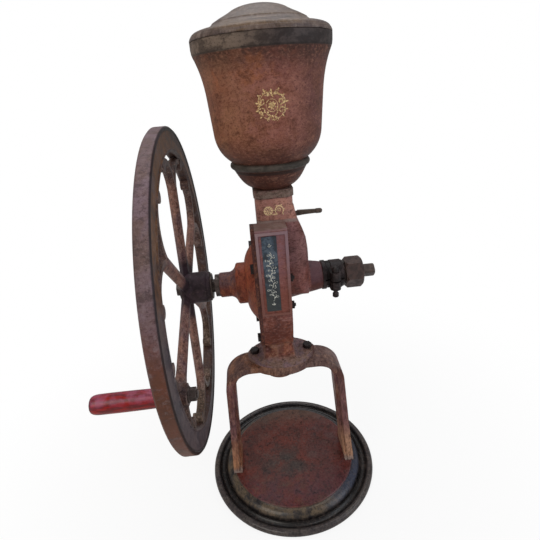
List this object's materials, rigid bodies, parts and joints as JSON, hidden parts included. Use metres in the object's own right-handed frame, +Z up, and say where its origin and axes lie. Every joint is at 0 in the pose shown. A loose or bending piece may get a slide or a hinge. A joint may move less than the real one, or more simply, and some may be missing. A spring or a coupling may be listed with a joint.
{
  "type": "hand crank coffee grinder",
  "caption": "Cast-iron bench coffee mill with a bell hopper, lid, one crank flywheel with forked spokes, and an arched yoke on a round foot.",
  "frame": {"origin": "centre of the round foot, on the surface that it stands on", "axes": "+Z up; +X along the shaft, away from the flywheel; -Y towards the front, where the label is"},
  "size_m": [0.398, 0.468, 0.7505],
  "materials": {
    "foot_iron": "glossy black paint worn to brown",
    "yoke_iron": "worn red-brown paint over grey iron",
    "screw_steel": "dark oiled steel",
    "body_iron": "aged red-brown paint with a purple sheen",
    "bolt_steel": "dark aged steel",
    "cover_iron": "aged orange-red paint",
    "label": "dark blue-black with gilt ornament",
    "hopper_iron": "aged brown-red paint with streaks",
    "lid_iron": "dark brown-grey aged paint",
    "gate_steel": "aged steel",
    "burr_iron": "chilled iron, cut",
    "carrier_iron": "as cast",
    "shaft_steel": "turned steel, browned at its ends",
    "bush_brass": "dull greyed bronze",
    "sleeve_steel": "browned steel",
    "clamp_steel": "black oiled steel",
    "wheel_iron": "worn purple-grey and rust-brown paint",
    "spoke_iron": "worn pinkish-brown paint",
    "grip_wood": "bright red gloss paint"
  },
  "bodies": {
    "frame": {"foot": "foot_iron", "yoke": "yoke_iron", "yoke_screws": "screw_steel", "mill_body": "body_iron", "saddle_bolts": "bolt_steel", "saddle_nuts": "bolt_steel", "chamber_cover": "cover_iron", "cover_bolts": "bolt_steel", "label_plate": "label", "hopper": "hopper_iron", "hopper_screw": "screw_steel", "fixed_burr": "burr_iron", "fixed_burr_bolts": "bolt_steel", "fixed_burr_nuts": "bolt_steel", "left_bush": "bush_brass", "pinch_nut": "clamp_steel"},
    "lid": {"lid": "lid_iron"},
    "gate": {"gate_plate": "gate_steel", "gate_handle": "gate_steel"},
    "pinch": {"pinch_screw": "clamp_steel"},
    "thrust": {"thrust_washer": "bush_brass"},
    "adjuster": {"adjusting_sleeve": "sleeve_steel"},
    "rotor": {"main_shaft": "shaft_steel", "rotating_burr": "burr_iron", "burr_carrier": "carrier_iron", "burr_screws": "screw_steel", "feed_screw": "carrier_iron", "feed_screw_pin": "screw_steel", "shaft_collar": "shaft_steel", "collar_pin": "screw_steel", "flywheel_rim": "wheel_iron", "flywheel_spokes": "spoke_iron", "hub_washer": "shaft_steel", "end_washer": "shaft_steel", "hub_nut": "bolt_steel", "crank_spindle": "shaft_steel", "spindle_washer": "shaft_steel", "spindle_nut": "bolt_steel"},
    "grip": {"hand_grip": "grip_wood"}
  },
  "joints": [
    {"name": "lid_lift", "type": "slide", "parent": "frame", "child": "lid", "axis": [0, 0, 1], "range_m": [0, 0.06]},
    {"name": "gate_slide", "type": "slide", "parent": "frame", "child": "gate", "axis": [1, 0, 0], "range_m": [0, 0.03]},
    {"name": "pinch_turn", "type": "hinge", "parent": "frame", "child": "pinch", "pos_m": [0.083, -0.025, 0.391], "axis": [0, 0, 1], "range_deg": [-180, 0]},
    {"name": "burr_shift", "type": "slide", "parent": "frame", "child": "thrust", "axis": [1, 0, 0], "range_m": [-0.0015, 0.00083]},
    {"name": "adjuster_turn", "type": "hinge", "parent": "thrust", "child": "adjuster", "pos_m": [0.115, 0, 0.391], "axis": [1, 0, 0], "range_deg": [-271, 151]},
    {"name": "shaft_spin", "type": "hinge", "parent": "thrust", "child": "rotor", "pos_m": [0, 0, 0.391], "axis": [1, 0, 0], "continuous": true},
    {"name": "grip_spin", "type": "hinge", "parent": "rotor", "child": "grip", "pos_m": [-0.2, -0.16524, 0.32757], "axis": [1, 0, 0], "continuous": true}
  ],
  "couplings": [
    {"joint": "adjuster_turn", "follows": "burr_shift", "rad_per_m": 3141.6}
  ]
}
